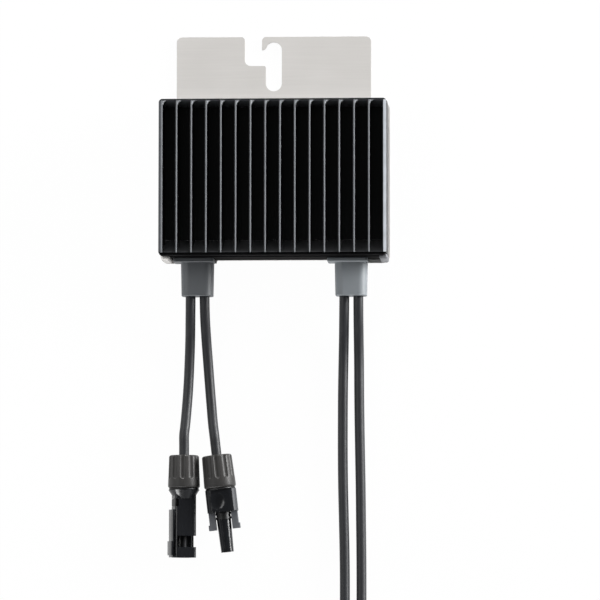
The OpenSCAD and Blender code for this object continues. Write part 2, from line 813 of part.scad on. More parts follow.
module nut(place) {
    lip_d = lead_d + 4 * lead_gap;
    cutter_r = nut_lead_d / 2 - flute_depth + flute_d / 2;
    lean = atan((nut_d - nut_lead_d) / 2 / nut_l);
    color("#4b4846")
        on_axis(place)
            difference() {
                cylinder(h = nut_l, d1 = nut_lead_d, d2 = nut_d);
                for (i = [0 : flute_count - 1])
                    rotate([0, 0, 360 * i / flute_count])
                        translate([cutter_r, 0, 0])
                            rotate([0, lean, 0]) {
                                translate([0, 0, -over]) cylinder(h = flute_l + over, d = flute_d);
                            }
                translate([0, 0, -over]) cylinder(h = nut_end_t + 2 * over, d = lip_d);
                translate([0, 0, nut_end_t]) cylinder(h = nut_l, d = spigot_d + 2 * spigot_gap);
            }
}

module seal(place) {
    color("#6a6d70")
        on_axis(place)
            translate([0, 0, spigot_z])
                difference() {
                    cylinder(h = seal_l, d = seal_d);
                    translate([0, 0, -over]) cylinder(h = seal_l + 2 * over, d = lead_d + 2 * lead_gap);
                }
}

// Rear of every connector body: the spigot in the nut, the seal's pocket and the bore for the contact
module body_rear() {
    translate([0, 0, spigot_z]) cylinder(h = body_z - spigot_z + hair, d = spigot_d);
}

module body_bores(bore_end) {
    translate([0, 0, spigot_z - over]) cylinder(h = seal_l + over, d = seal_d + 2 * lead_gap);
    translate([0, 0, spigot_z]) cylinder(h = crimp_z - spigot_z, d = lead_d + 2 * lead_gap);
    translate([0, 0, spigot_z]) cylinder(h = bore_end - spigot_z, d = crimp_d + lead_gap);
}

// Hollow connector body: a box-shaped shell with a notched side, a window above and an open front
module hollow_body(place) {
    notch_w = shell_w / 2 - notch_in;
    color("#1d1e20")
        on_axis(place)
            rotate([0, 0, -body_turn])
                difference() {
                    union() {
                        body_rear();
                        translate([0, 0, body_z]) cylinder(h = flange_l, d1 = flange_d, d2 = barrel_d);
                        translate([0, 0, body_z])
                            linear_extrude(hollow_body_l) rounded_rect(shell_w, shell_h, shell_r);
                    }
                    body_bores(hollow_end);
                    translate([0, 0, hollow_end - hollow_l]) cylinder(h = hollow_l + over, d = hollow_d);
                    translate([0, shell_h / 4 + over / 2, hollow_end - window_front - window_l / 2])
                        cube([window_w, shell_h / 2 + over, window_l], center = true);
                    translate([-notch_in - notch_w / 2 - over / 2, 0, body_z + flange_l + notch_l / 2])
                        cube([notch_w + over, shell_h + over, notch_l], center = true);
                }
}

module pin_contact(place) {
    base_end = hollow_end - hollow_l;
    color("#c9cbcd")
        on_axis(place) {
            translate([0, 0, crimp_z]) cylinder(h = base_end - crimp_z, d = crimp_d);
            translate([0, 0, base_end - hair]) cylinder(h = hollow_l - window_front, d = pin_d);
        }
}

// Nose connector body: a block with a tubular nose between two barbed latch arms
module nose_body(place) {
    color("#1d1e20")
        on_axis(place)
            difference() {
                union() {
                    body_rear();
                    translate([0, 0, body_z]) linear_extrude(block_l) rounded_rect(block_w, block_h, block_r);
                    translate([0, 0, block_end - hair]) cylinder(h = nose_l + hair, d1 = nose_root_d, d2 = nose_d);
                    for (s = [-1, 1]) {
                        translate([s * (arm_in + arm_out) / 2, 0, block_end + arm_l / 2 - hair])
                            cube([arm_out - arm_in, arm_h, arm_l + hair], center = true);
                        translate([s * (arm_in + arm_out + barb) / 2, 0, block_end + arm_l - barb_l / 2])
                            cube([arm_out + barb - arm_in, arm_h, barb_l], center = true);
                    }
                }
                body_bores(nose_end + over);
                translate([0, 0, ring_z - ring_l / 2])
                    difference() {
                        cylinder(h = ring_l, d = nose_root_d + over);
                        translate([0, 0, -over]) cylinder(h = ring_l + 2 * over, r = ring_r);
                    }
            }
}

module socket_contact(place) {
    socket_end = nose_end - barb_l;
    color("#c9cbcd")
        on_axis(place)
            difference() {
                translate([0, 0, crimp_z]) cylinder(h = socket_end - crimp_z, d = crimp_d);
                translate([0, 0, socket_end - nose_l / 2]) cylinder(h = nose_l / 2 + over, d = pin_d + lead_gap);
            }
}

module sealing_ring(place) {
    color("#2a2a2a")
        on_axis(place)
            translate([0, 0, ring_z])
                rotate_extrude()
                    polygon([
                        [ring_r, -ring_l / 2],
                        [ring_r + ring_t, -ring_l / 2],
                        [ring_r + ring_t, -ring_l / 6],
                        [ring_r + ring_t - lip_depth, -ring_l / 6],
                        [ring_r + ring_t - lip_depth, ring_l / 6],
                        [ring_r + ring_t, ring_l / 6],
                        [ring_r + ring_t, ring_l / 2],
                        [ring_r, ring_l / 2]
                    ]);
}

mounting_bracket();
cover_gasket();
heat_sink();
cover_screws();
circuit_board();
board_screws();
inductor_core();
inductor_winding();
input_capacitors();
output_capacitors();
power_transistors();
thermal_pad();
control_chip();
signal_transformer();
lead_terminals();
lead_conductors();
input_boot();
output_boot();
input_lead(input_xs[0], input_plus_route, input_plus);  // input_plus_lead
input_lead(input_xs[1], input_minus_route, input_minus);  // input_minus_lead
output_lead(output_xs[0], output_plus_route, plus_entry_x);  // output_plus_lead
output_lead(output_xs[1], output_minus_route, minus_entry_x);  // output_minus_lead
nut(input_plus);  // input_plus_nut
hollow_body(input_plus);  // input_plus_body
seal(input_plus);  // input_plus_seal
pin_contact(input_plus);  // input_plus_contact
nut(input_minus);  // input_minus_nut
nose_body(input_minus);  // input_minus_body
seal(input_minus);  // input_minus_seal
socket_contact(input_minus);  // input_minus_contact
sealing_ring(input_minus);  // input_minus_ring
coil(plus_coil, 1);  // output_plus_coil
tie(plus_coil, 1);  // output_plus_tie
output_tail(plus_coil, 1, output_plus);  // output_plus_tail
nut(output_plus);  // output_plus_nut
nose_body(output_plus);  // output_plus_body
seal(output_plus);  // output_plus_seal
socket_contact(output_plus);  // output_plus_contact
sealing_ring(output_plus);  // output_plus_ring
coil(minus_coil, -1);  // output_minus_coil
tie(minus_coil, -1);  // output_minus_tie
output_tail(minus_coil, -1, output_minus);  // output_minus_tail
nut(output_minus);  // output_minus_nut
hollow_body(output_minus);  // output_minus_body
seal(output_minus);  // output_minus_seal
pin_contact(output_minus);  // output_minus_contact
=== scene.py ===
# Power optimizer for one solar panel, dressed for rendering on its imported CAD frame.
# The axes are the frame's own: the bracket lies on z = 0 and its tab points to +Y. Lengths are
# in metres, and the numbers of a place or size tuple are in millimetres, as in the CAD.
import bpy
import json
import math
from mathutils import Matrix, Vector

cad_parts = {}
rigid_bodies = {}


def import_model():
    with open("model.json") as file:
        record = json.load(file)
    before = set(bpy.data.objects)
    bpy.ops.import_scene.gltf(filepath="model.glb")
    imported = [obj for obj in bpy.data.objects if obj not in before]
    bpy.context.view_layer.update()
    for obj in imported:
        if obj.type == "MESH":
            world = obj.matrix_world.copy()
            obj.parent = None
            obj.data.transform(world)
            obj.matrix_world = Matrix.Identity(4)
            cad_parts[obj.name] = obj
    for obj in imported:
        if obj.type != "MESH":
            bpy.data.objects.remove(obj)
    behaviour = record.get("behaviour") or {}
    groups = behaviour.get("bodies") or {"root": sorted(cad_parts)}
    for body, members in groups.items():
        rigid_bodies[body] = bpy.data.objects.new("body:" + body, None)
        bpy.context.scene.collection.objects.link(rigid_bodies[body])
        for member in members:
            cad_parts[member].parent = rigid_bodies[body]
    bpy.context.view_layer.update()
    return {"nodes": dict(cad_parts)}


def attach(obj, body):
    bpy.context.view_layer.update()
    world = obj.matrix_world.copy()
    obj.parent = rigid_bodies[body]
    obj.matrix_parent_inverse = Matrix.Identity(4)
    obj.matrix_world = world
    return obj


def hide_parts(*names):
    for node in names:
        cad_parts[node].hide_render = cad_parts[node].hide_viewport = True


bpy.ops.object.select_all(action="SELECT")
bpy.ops.object.delete()
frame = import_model()
mm = 0.001

# Camera: a long lens almost straight above the part, a little to the right of its middle and
# nearer to the leads than to the tab, so that the right side and the lower side just show.
camera_data = bpy.data.cameras.new("camera")
camera_data.lens = 273.1
camera_data.sensor_width = 36
camera_data.clip_end = 20
camera = bpy.data.objects.new("camera", camera_data)
bpy.context.scene.collection.objects.link(camera)
camera.location = (0.1494, -0.2727, 2.6)
camera.rotation_euler = [math.radians(a) for a in (4.309, 2.975, 0.046)]
bpy.context.scene.camera = camera
bpy.context.scene.view_settings.view_transform = "Standard"

# Studio: a plain white floor under the part, a soft lamp on each of its four sides, the right one
# the strongest, and a pale surround that is darker overhead, so that the channels stay black.
floor_z = -0.3 * mm


def linear(code):
    channels = [int(code[i:i + 2], 16) / 255 for i in (1, 3, 5)]
    return [c / 12.92 if c <= 0.04045 else ((c + 0.055) / 1.055) ** 2.4 for c in channels] + [1]


def add_node(tree, kind, inputs=None, **settings):
    node = tree.nodes.new(kind)
    for name, value in settings.items():
        setattr(node, name, value)
    for socket, value in (inputs or {}).items():
        if isinstance(value, bpy.types.NodeSocket):
            tree.links.new(value, node.inputs[socket])
        else:
            node.inputs[socket].default_value = value
    return node


def dress(piece, finish):
    piece.data.materials.clear()
    piece.data.materials.append(finish)


bpy.ops.object.select_all(action="DESELECT")
bpy.ops.mesh.primitive_plane_add(size=8, location=(0, 0, floor_z))
floor = bpy.context.object
floor.name = "studio_floor"
floor.data.transform(floor.matrix_world)
floor.matrix_world = Matrix.Identity(4)

# White floor paint: matt where the lamps fall on it. The camera sees it almost plain white, and
# reflections see it paler than it is lit, so that the ground of the picture stays even.
seen_white = 0.98
mirrored_white = 0.6
floor_paint = bpy.data.materials.new("white_floor_paint")
floor_paint.use_nodes = True
tree = floor_paint.node_tree
tree.nodes.clear()
path = add_node(tree, "ShaderNodeLightPath")
mirrored = add_node(tree, "ShaderNodeMath", {
    0: path.outputs["Is Glossy Ray"], 1: path.outputs["Is Transmission Ray"]},
    operation="MAXIMUM")
faint = add_node(tree, "ShaderNodeMath", {0: mirrored.outputs[0], 1: mirrored_white},
                 operation="MULTIPLY")
plain = add_node(tree, "ShaderNodeMath", {0: path.outputs["Is Camera Ray"], 1: seen_white},
                 operation="MULTIPLY")
share = add_node(tree, "ShaderNodeMath", {0: plain.outputs[0], 1: faint.outputs[0]},
                 operation="MAXIMUM")
matt = add_node(tree, "ShaderNodeBsdfDiffuse", {"Color": linear("#f4f4f4")})
white = add_node(tree, "ShaderNodeEmission", {"Color": linear("#ffffff"), "Strength": 1.0})
both = add_node(tree, "ShaderNodeMixShader", {
    0: share.outputs[0], 1: matt.outputs[0], 2: white.outputs[0]})
add_node(tree, "ShaderNodeOutputMaterial", {"Surface": both.outputs[0]})
dress(floor, floor_paint)

low_sky, high_sky = 0.1, 0.6
low_light, high_light = 0.8, 0.08
world = bpy.data.worlds.new("studio_surround")
bpy.context.scene.world = world
world.use_nodes = True
tree = world.node_tree
direction = add_node(tree, "ShaderNodeTexCoord").outputs["Generated"]
skyward = add_node(tree, "ShaderNodeSeparateXYZ", {0: direction})
shade = add_node(tree, "ShaderNodeMapRange", {
    0: skyward.outputs["Z"], 1: low_sky, 2: high_sky, 3: low_light, 4: high_light})
tree.nodes["Background"].inputs["Color"].default_value = linear("#f2f4f6")
tree.links.new(shade.outputs[0], tree.nodes["Background"].inputs["Strength"])


def hang_lamp(name, place, aim, size, power):
    lamp_data = bpy.data.lights.new(name, "AREA")
    lamp_data.shape = "RECTANGLE"
    lamp_data.size, lamp_data.size_y = size
    lamp_data.energy = power
    lamp = bpy.data.objects.new(name, lamp_data)
    bpy.context.scene.collection.objects.link(lamp)
    lamp.location = place
    lamp.rotation_euler = (Vector(aim) - lamp.location).to_track_quat("-Z", "Y").to_euler()


hang_lamp("lamp_right", place=(1.75, 0.5, 0.46), aim=(0, -0.05, 0), size=(1.0, 0.5), power=60)
hang_lamp("lamp_left", place=(-1.3, 0.5, 1.5), aim=(0, -0.05, 0), size=(1.4, 1.0), power=14)
hang_lamp("lamp_tab_end", place=(0.1, 1.8, 0.42), aim=(0, 0, 0), size=(1.6, 0.4), power=52)
hang_lamp("lamp_leads_end", place=(-0.5, -1.7, 0.32), aim=(0, -0.1, 0), size=(1.6, 0.4), power=20)

# Mounting bracket: one laser-cut piece of stainless sheet with a plate behind the housing and a
# tab with a mouth and a slot for the bolt on the panel's frame. Its edges are lightly tumbled.
smooth_angle = math.radians(40)


def select_only(piece):
    bpy.ops.object.select_all(action="DESELECT")
    piece.select_set(True)
    bpy.context.view_layer.objects.active = piece


def apply_modifier(piece, kind, **settings):
    select_only(piece)
    modifier = piece.modifiers.new("step", kind)
    for name, value in settings.items():
        setattr(modifier, name, value)
    bpy.ops.object.modifier_apply(modifier="step")


def round_edges(piece, width, segments, angle):
    apply_modifier(piece, "BEVEL", width=width, segments=segments, limit_method="ANGLE",
                   angle_limit=math.radians(angle))


def combine(piece, tool, operation):
    apply_modifier(piece, "BOOLEAN", operation=operation, solver="EXACT", object=tool)
    bpy.data.objects.remove(tool)


def even_normals(piece):
    bpy.ops.object.shade_smooth_by_angle(angle=smooth_angle)
    apply_modifier(piece, "WEIGHTED_NORMAL", weight=100, keep_sharp=True)


# A copy of a CAD node's mesh, with its triangles merged to whole faces and its edges rounded.
def dressed_copy(node, name, edge, segments=2, cutters=()):
    piece = bpy.data.objects.new(name, frame["nodes"][node].data.copy())
    bpy.context.scene.collection.objects.link(piece)
    select_only(piece)
    bpy.ops.object.mode_set(mode="EDIT")
    bpy.ops.mesh.select_all(action="SELECT")
    bpy.ops.mesh.remove_doubles(threshold=0.002 * mm)
    bpy.ops.mesh.dissolve_limited(angle_limit=math.radians(1))
    bpy.ops.object.mode_set(mode="OBJECT")
    round_edges(piece, edge, segments, angle=35)
    for cutter in cutters:
        combine(piece, cutter, "DIFFERENCE")
    even_normals(piece)
    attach(piece, "root")
    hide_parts(node)
    return piece


def new_finish(name):
    finish = bpy.data.materials.new(name)
    finish.use_nodes = True
    tree = finish.node_tree
    coords = add_node(tree, "ShaderNodeTexCoord").outputs["Object"]
    return finish, tree, tree.nodes["Principled BSDF"], coords


bracket = dressed_copy("mounting_bracket", "slotted_bracket", edge=0.2 * mm)

# Cold-rolled stainless sheet, bead-blasted: a warm pale grey with faint streaks along the rolling
# direction, drawn a little brighter beside the housing.
streak_length, streak_width = 40 * mm, 1.2 * mm
patch_size = 45 * mm
bead_size = 0.5 * mm
brightened_y, blasted_y = 36 * mm, 46 * mm
brightening = 0.35
noise_low, noise_high = 0.3, 0.7
blasted_sheet, tree, shader, coords = new_finish("blasted_stainless")
rolled = add_node(tree, "ShaderNodeMapping", {
    "Vector": coords, "Scale": (1 / streak_length, 1 / streak_width, 1)})
streak = add_node(tree, "ShaderNodeTexNoise", {
    "Vector": rolled.outputs[0], "Scale": 1, "Detail": 3})
cloud = add_node(tree, "ShaderNodeTexNoise", {
    "Vector": coords, "Scale": 1 / patch_size, "Detail": 2})
patch = add_node(tree, "ShaderNodeMix", {
    0: cloud.outputs["Fac"], 6: linear("#cbc8c4"), 7: linear("#dad7d4")}, data_type="RGBA")
lined = add_node(tree, "ShaderNodeMix", {
    0: streak.outputs["Fac"], 6: linear("#f4f4f4"), 7: linear("#ffffff")}, data_type="RGBA")
tint = add_node(tree, "ShaderNodeMix", {0: 1.0, 6: patch.outputs[2], 7: lined.outputs[2]},
                data_type="RGBA", blend_type="MULTIPLY")
spot = add_node(tree, "ShaderNodeSeparateXYZ", {0: coords})
beside = add_node(tree, "ShaderNodeMapRange", {
    0: spot.outputs["Y"], 1: brightened_y, 2: blasted_y, 3: brightening, 4: 0.0})
tone_brightened = add_node(tree, "ShaderNodeMix", {
    0: beside.outputs[0], 6: tint.outputs[2], 7: linear("#e6e3e0")}, data_type="RGBA")
bead = add_node(tree, "ShaderNodeTexNoise", {
    "Vector": coords, "Scale": 1 / bead_size, "Detail": 2})
gloss = add_node(tree, "ShaderNodeMapRange", {
    0: bead.outputs["Fac"], 1: noise_low, 2: noise_high, 3: 0.5, 4: 0.62})
relief = add_node(tree, "ShaderNodeBump", {
    "Height": bead.outputs["Fac"], "Strength": 0.06, "Distance": 0.1 * mm})
tree.links.new(tone_brightened.outputs[2], shader.inputs["Base Color"])
tree.links.new(gloss.outputs[0], shader.inputs["Roughness"])
tree.links.new(relief.outputs[0], shader.inputs["Normal"])
shader.inputs["Metallic"].default_value = 0.2
dress(bracket, blasted_sheet)

# Corner lugs: two short pieces of the same sheet, folded double and welded upright on the plate's
# lower ears, where they hold the housing's notched lower corners.
lug_xs = (-61.6, 62.95)
lug_y, lug_z = -53.85, 13.5
lug_size = (4.9, 3.4, 24)


def metres(values):
    return [a * mm for a in values]


def box_at(place, size):
    bpy.ops.object.select_all(action="DESELECT")
    bpy.ops.mesh.primitive_cube_add(size=1, location=metres(place), scale=metres(size))
    bpy.ops.object.transform_apply()
    return bpy.context.object


def joined(pieces):
    bpy.ops.object.select_all(action="DESELECT")
    for piece in pieces:
        piece.select_set(True)
    bpy.context.view_layer.objects.active = pieces[0]
    bpy.ops.object.join()
    return pieces[0]


lugs = [box_at((x, lug_y, lug_z), lug_size) for x in lug_xs]
for lug in lugs:
    round_edges(lug, width=1.5 * mm, segments=6, angle=35)
corner_lugs = joined(lugs)
corner_lugs.name = "bracket_corner_lugs"
even_normals(corner_lugs)
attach(corner_lugs, "root")


# A surface with a soft cloud of two close shades, and a fine grain in its gloss and relief.
def grained_finish(name, dark, light, cloud, grain, rough, relief, metallic=0.0, specular=0.5):
    finish, tree, shader, coords = new_finish(name)
    shades = add_node(tree, "ShaderNodeTexNoise", {
        "Vector": coords, "Scale": 1 / cloud, "Detail": 3})
    tint = add_node(tree, "ShaderNodeMix", {
        0: shades.outputs["Fac"], 6: linear(dark), 7: linear(light)}, data_type="RGBA")
    grains = add_node(tree, "ShaderNodeTexNoise", {
        "Vector": coords, "Scale": 1 / grain, "Detail": 2})
    gloss = add_node(tree, "ShaderNodeMapRange", {
        0: grains.outputs["Fac"], 1: noise_low, 2: noise_high, 3: rough[0], 4: rough[1]})
    bump = add_node(tree, "ShaderNodeBump", {
        "Height": grains.outputs["Fac"], "Strength": relief, "Distance": 0.1 * mm})
    tree.links.new(tint.outputs[2], shader.inputs["Base Color"])
    tree.links.new(gloss.outputs[0], shader.inputs["Roughness"])
    tree.links.new(bump.outputs[0], shader.inputs["Normal"])
    shader.inputs["Metallic"].default_value = metallic
    shader.inputs["Specular IOR Level"].default_value = specular
    return finish


# The same stainless sheet drawn a dull mid grey on the right lug: painted shade, darker than the
# left lug.
shaded_lug_sheet = grained_finish("shaded_stainless", "#77787b", "#858689", cloud=4 * mm,
                               grain=0.5 * mm, rough=(0.5, 0.62), relief=0.06, metallic=0.2)
dress(corner_lugs, blasted_sheet)
corner_lugs.data.materials.append(shaded_lug_sheet)
# Painted shade: the right lug's faces take the darker grey.
for face in corner_lugs.data.polygons:
    face.material_index = int(face.center.x > 0)

# Electronics: a circuit board with its power parts, screwed into the housing, and the gasket that
# the bracket presses against its rim. All are hidden, and keep their CAD shapes.

# Solder mask on glass laminate: an even deep green with a soft gloss.
green_mask = grained_finish("solder_mask_laminate", "#17472b", "#1f5a36", cloud=5 * mm,
                            grain=0.4 * mm, rough=(0.25, 0.35), relief=0.05)
# Zinc plate on steel: a pale grey metal, brighter in places.
zinc_plate = grained_finish("zinc_plated_steel", "#a9aaa6", "#c3c4c1", cloud=2 * mm,
                            grain=0.3 * mm, rough=(0.28, 0.42), relief=0.05, metallic=1.0)
# Sintered ferrite: a dull, slightly rough dark grey.
sintered_ferrite = grained_finish("sintered_ferrite", "#4c4d50", "#5a5b5e", cloud=3 * mm,
                                  grain=0.3 * mm, rough=(0.5, 0.65), relief=0.15)
# Enamelled copper wire: a glossy orange metal.
enamelled_copper = grained_finish("enamelled_copper", "#b9683a", "#cf7d49", cloud=4 * mm,
                                  grain=0.5 * mm, rough=(0.22, 0.32), relief=0.05, metallic=0.9)
# Moulded capacitor case: a smooth, half-dull yellow.
dipped_film = grained_finish("film_capacitor_case", "#c39a35", "#d0a741", cloud=6 * mm,
                             grain=0.5 * mm, rough=(0.35, 0.45), relief=0.06)
# Drawn aluminium can: a bright, nearly white metal.
drawn_can = grained_finish("drawn_aluminium_can", "#bfc0c4", "#cdced2", cloud=5 * mm,
                           grain=0.3 * mm, rough=(0.22, 0.34), relief=0.04, metallic=1.0)
# Filled epoxy resin of chip cases: a matt black with a fine grit.
moulded_resin = grained_finish("moulded_chip_resin", "#232425", "#2c2d2e", cloud=2 * mm,
                               grain=0.2 * mm, rough=(0.5, 0.65), relief=0.15)
# Filled silicone sheet: a soft, dull blue grey.
soft_silicone = grained_finish("thermal_pad_silicone", "#7d8c9c", "#8896a6", cloud=4 * mm,
                               grain=0.6 * mm, rough=(0.6, 0.75), relief=0.1)
# Stamped brass: a bright yellow metal with a faint grain.
stamped_brass = grained_finish("stamped_brass", "#c2a04f", "#d2b263", cloud=3 * mm,
                               grain=0.3 * mm, rough=(0.25, 0.38), relief=0.05, metallic=1.0)
# Tinned copper strands: a dull grey metal.
tin_plate = grained_finish("tinned_copper", "#77787a", "#87888a", cloud=2 * mm,
                           grain=0.3 * mm, rough=(0.45, 0.6), relief=0.05, metallic=1.0)
# Foamed gasket: a matt dark grey with open pores.
cast_gasket = grained_finish("foamed_gasket", "#353535", "#3d3d3d", cloud=2 * mm,
                             grain=0.4 * mm, rough=(0.7, 0.85), relief=0.25)
electronics = {
    "circuit_board": green_mask, "board_screws": zinc_plate, "inductor_core": sintered_ferrite,
    "inductor_winding": enamelled_copper, "input_capacitors": dipped_film,
    "output_capacitors": drawn_can, "power_transistors": moulded_resin,
    "thermal_pad": soft_silicone, "control_chip": moulded_resin,
    "signal_transformer": sintered_ferrite, "lead_terminals": stamped_brass,
    "lead_conductors": tin_plate, "cover_gasket": cast_gasket}
for node, finish in electronics.items():
    dress(frame["nodes"][node], finish)

# Heat sink: one aluminium casting with sixteen fins, coated black. It covers the electronics, is
# screwed to the bracket from behind, and is notched at its lower corners for the lugs.
notch_xs = (-62.8, 64.2)
notch_y, notch_z = -53.6, 13.6
notch_size = (7.8, 3.2, 24.2)
pitch = 8.42 * mm
first_channel_x = -62.55 * mm
notches = [box_at((x, notch_y, notch_z), notch_size) for x in notch_xs]
housing = dressed_copy("heat_sink", "finned_housing", edge=0.3 * mm, segments=3, cutters=notches)

# Powder-coated cast aluminium: deep black with a fine orange peel. The tips carry a painted
# highlight, but not along their left edge, brightest on the right side wall and least on the left
# one.
tint_size, peel_size, highlight_patch_size = 18 * mm, 0.9 * mm, 5 * mm
tip_z = (33.40 * mm, 33.49 * mm)
tip_in_pitch = (7.62 * mm, 7.86 * mm)
side_wall_x = (63.0 * mm, 63.2 * mm)
left_wall_x = (-63.55 * mm, -63.15 * mm)
right_wall_x = (62.6 * mm, 63.1 * mm)


def coated_casting(name, dark, light, rough, specular):
    finish, tree, shader, coords = new_finish(name)
    cloud = add_node(tree, "ShaderNodeTexNoise", {
        "Vector": coords, "Scale": 1 / tint_size, "Detail": 4})
    tint = add_node(tree, "ShaderNodeMix", {
        0: cloud.outputs["Fac"], 6: linear(dark), 7: linear(light)}, data_type="RGBA")
    peel = add_node(tree, "ShaderNodeTexNoise", {
        "Vector": coords, "Scale": 1 / peel_size, "Detail": 2})
    spot = add_node(tree, "ShaderNodeSeparateXYZ", {0: coords})
    # Painted highlight: a bright band on top of each fin tip, kept off its left edge, patchy by a
    # noise.
    tip = add_node(tree, "ShaderNodeMapRange", {0: spot.outputs["Z"], 1: tip_z[0], 2: tip_z[1]})
    highlight_noise = add_node(tree, "ShaderNodeTexNoise", {
        "Vector": coords, "Scale": 1 / highlight_patch_size, "Detail": 4})
    highlight_spread = add_node(tree, "ShaderNodeMapRange", {
        0: highlight_noise.outputs["Fac"], 1: 0.3, 2: 0.6, 3: 0.85, 4: 1.0})
    tip_highlight = add_node(tree, "ShaderNodeMath", {0: tip.outputs[0], 1: highlight_spread.outputs[0]},
                      operation="MULTIPLY")
    across = add_node(tree, "ShaderNodeMath", {0: spot.outputs["X"], 1: first_channel_x},
                      operation="SUBTRACT")
    in_pitch = add_node(tree, "ShaderNodeMath", {0: across.outputs[0], 1: pitch},
                        operation="FLOORED_MODULO")
    off_edge = add_node(tree, "ShaderNodeMapRange", {
        0: in_pitch.outputs[0], 1: tip_in_pitch[0], 2: tip_in_pitch[1]})
    outward = add_node(tree, "ShaderNodeMath", {0: spot.outputs["X"]}, operation="ABSOLUTE")
    side_wall = add_node(tree, "ShaderNodeMapRange", {
        0: outward.outputs[0], 1: side_wall_x[0], 2: side_wall_x[1]})
    shown = add_node(tree, "ShaderNodeMath", {0: off_edge.outputs[0], 1: side_wall.outputs[0]},
                     operation="MAXIMUM")
    painted_highlight = add_node(tree, "ShaderNodeMath", {0: tip_highlight.outputs[0], 1: shown.outputs[0]},
                    operation="MULTIPLY")
    left = add_node(tree, "ShaderNodeMapRange", {
        0: spot.outputs["X"], 1: left_wall_x[0], 2: left_wall_x[1]})
    right = add_node(tree, "ShaderNodeMapRange", {
        0: spot.outputs["X"], 1: right_wall_x[0], 2: right_wall_x[1]})
    # Painted highlight colour: mid grey on the fins, darker grey on the left wall, near white on
    # the right.
    wall_sheen = add_node(tree, "ShaderNodeMix", {
        0: left.outputs[0], 6: linear("#4d4f52"), 7: linear("#85888c")}, data_type="RGBA")
    painted_sheen = add_node(tree, "ShaderNodeMix", {
        0: right.outputs[0], 6: wall_sheen.outputs[2], 7: linear("#bfc3c9")}, data_type="RGBA")
    coat_and_highlight = add_node(tree, "ShaderNodeMix", {
        0: painted_highlight.outputs[0], 6: tint.outputs[2], 7: painted_sheen.outputs[2]}, data_type="RGBA")
    gloss = add_node(tree, "ShaderNodeMapRange", {
        0: peel.outputs["Fac"], 3: rough, 4: rough + 0.1})
    relief = add_node(tree, "ShaderNodeBump", {
        "Height": peel.outputs["Fac"], "Strength": 0.08, "Distance": 0.08 * mm})
    tree.links.new(coat_and_highlight.outputs[2], shader.inputs["Base Color"])
    tree.links.new(gloss.outputs[0], shader.inputs["Roughness"])
    tree.links.new(relief.outputs[0], shader.inputs["Normal"])
    shader.inputs["Specular IOR Level"].default_value = specular
    return finish


# Four states of the one coat: satin between the fins, smooth on the two side walls, dull and darker
# on the lower wall, the darker colour a painted shade, and greyer on the channels' steep ends, the
# grey a painted light.
dress(housing, coated_casting("powder_coat_satin", "#121315", "#1a1b1d", rough=0.34, specular=0.5))
for state, dark, light, rough, specular in (
        ("powder_coat_smooth", "#121315", "#1a1b1d", 0.14, 0.5),
        ("powder_coat_dull_shaded", "#070708", "#0c0c0d", 0.8, 0.05),
        ("powder_coat_lit_ends", "#3a3c40", "#46484c", 0.4, 0.5)):
    housing.data.materials.append(coated_casting(state, dark, light, rough, specular))
smooth, dull_shaded, lit_ends = 1, 2, 3
outer_x = 64 * mm
lower_wall_y, below_fins_y = -51.8 * mm, -52 * mm
channel_end_y, channel_floor_z = 32 * mm, 14 * mm
# Painted shade on the lower wall's darker coat, painted light on the channel ends' greyer coat.
for face in housing.data.polygons:
    middle, normal = face.center, face.normal
    if abs(normal.x) > 0.8 and abs(middle.x) > outer_x:
        face.material_index = smooth
    elif normal.y < -0.1 and middle.y < lower_wall_y or middle.y < below_fins_y:
        face.material_index = dull_shaded
    elif normal.y < -0.5 and middle.y > channel_end_y and middle.z > channel_floor_z:
        face.material_index = lit_ends

# Corner webs: small cast fillets that join each fin to the rim at the tab's end. They are part of
# the housing's casting, and their tops carry a painted highlight.
web_count = 15
web_y = 34.95 * mm
web_place, web_size = (1.2, -1.2, 31), (2.6, 2.6, 4)
hollow_place = (2.5, -2.5, 31)
web_pattern = box_at(web_place, web_size)
bpy.ops.mesh.primitive_cone_add(vertices=48, radius1=1.9 * mm, radius2=2.7 * mm, depth=5 * mm,
                                location=metres(hollow_place))
hollow = bpy.context.object
bpy.ops.object.transform_apply()
combine(web_pattern, hollow, "DIFFERENCE")


def moved_copy(pattern, name, move):
    piece = bpy.data.objects.new(name, pattern.data.copy())
    piece.data.transform(move)
    bpy.context.scene.collection.objects.link(piece)
    return piece


corner_webs = joined([
    moved_copy(web_pattern, "web", Matrix.Translation((first_channel_x + i * pitch, web_y, 0)))
    for i in range(web_count)])
corner_webs.name = "channel_corner_webs"
bpy.data.objects.remove(web_pattern)
bpy.ops.object.shade_smooth_by_angle(angle=smooth_angle)
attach(corner_webs, "root")

# Painted highlight: near white at the top of the web, with a ragged edge to the black coat.
coat_z, web_highlight_z = 31.0 * mm, 33.2 * mm
ragged_size, ragged_depth = 1.5 * mm, 1.2 * mm
web_highlight_finish, tree, shader, coords = new_finish("web_highlight_casting")
spot = add_node(tree, "ShaderNodeSeparateXYZ", {0: coords})
highlight_noise = add_node(tree, "ShaderNodeTexNoise", {
    "Vector": coords, "Scale": 1 / ragged_size, "Detail": 3})
level = add_node(tree, "ShaderNodeMath", {
    0: highlight_noise.outputs["Fac"], 1: ragged_depth, 2: spot.outputs["Z"]}, operation="MULTIPLY_ADD")
web_highlight_mask = add_node(tree, "ShaderNodeMapRange", {0: level.outputs[0], 1: coat_z, 2: web_highlight_z})
coat_and_highlight = add_node(tree, "ShaderNodeMix", {
    0: web_highlight_mask.outputs[0], 6: linear("#131416"), 7: linear("#e2e5e9")}, data_type="RGBA")
tree.links.new(coat_and_highlight.outputs[2], shader.inputs["Base Color"])
shader.inputs["Roughness"].default_value = 0.35
dress(corner_webs, web_highlight_finish)

# Cover screws: six zinc-plated countersunk steel screws, driven from behind through the bracket
# into the housing, each with a hexagon socket pressed into its head.
screw_xs = (-59.25, 0, 59.25)
screw_ys = (-47.75, 30.45)


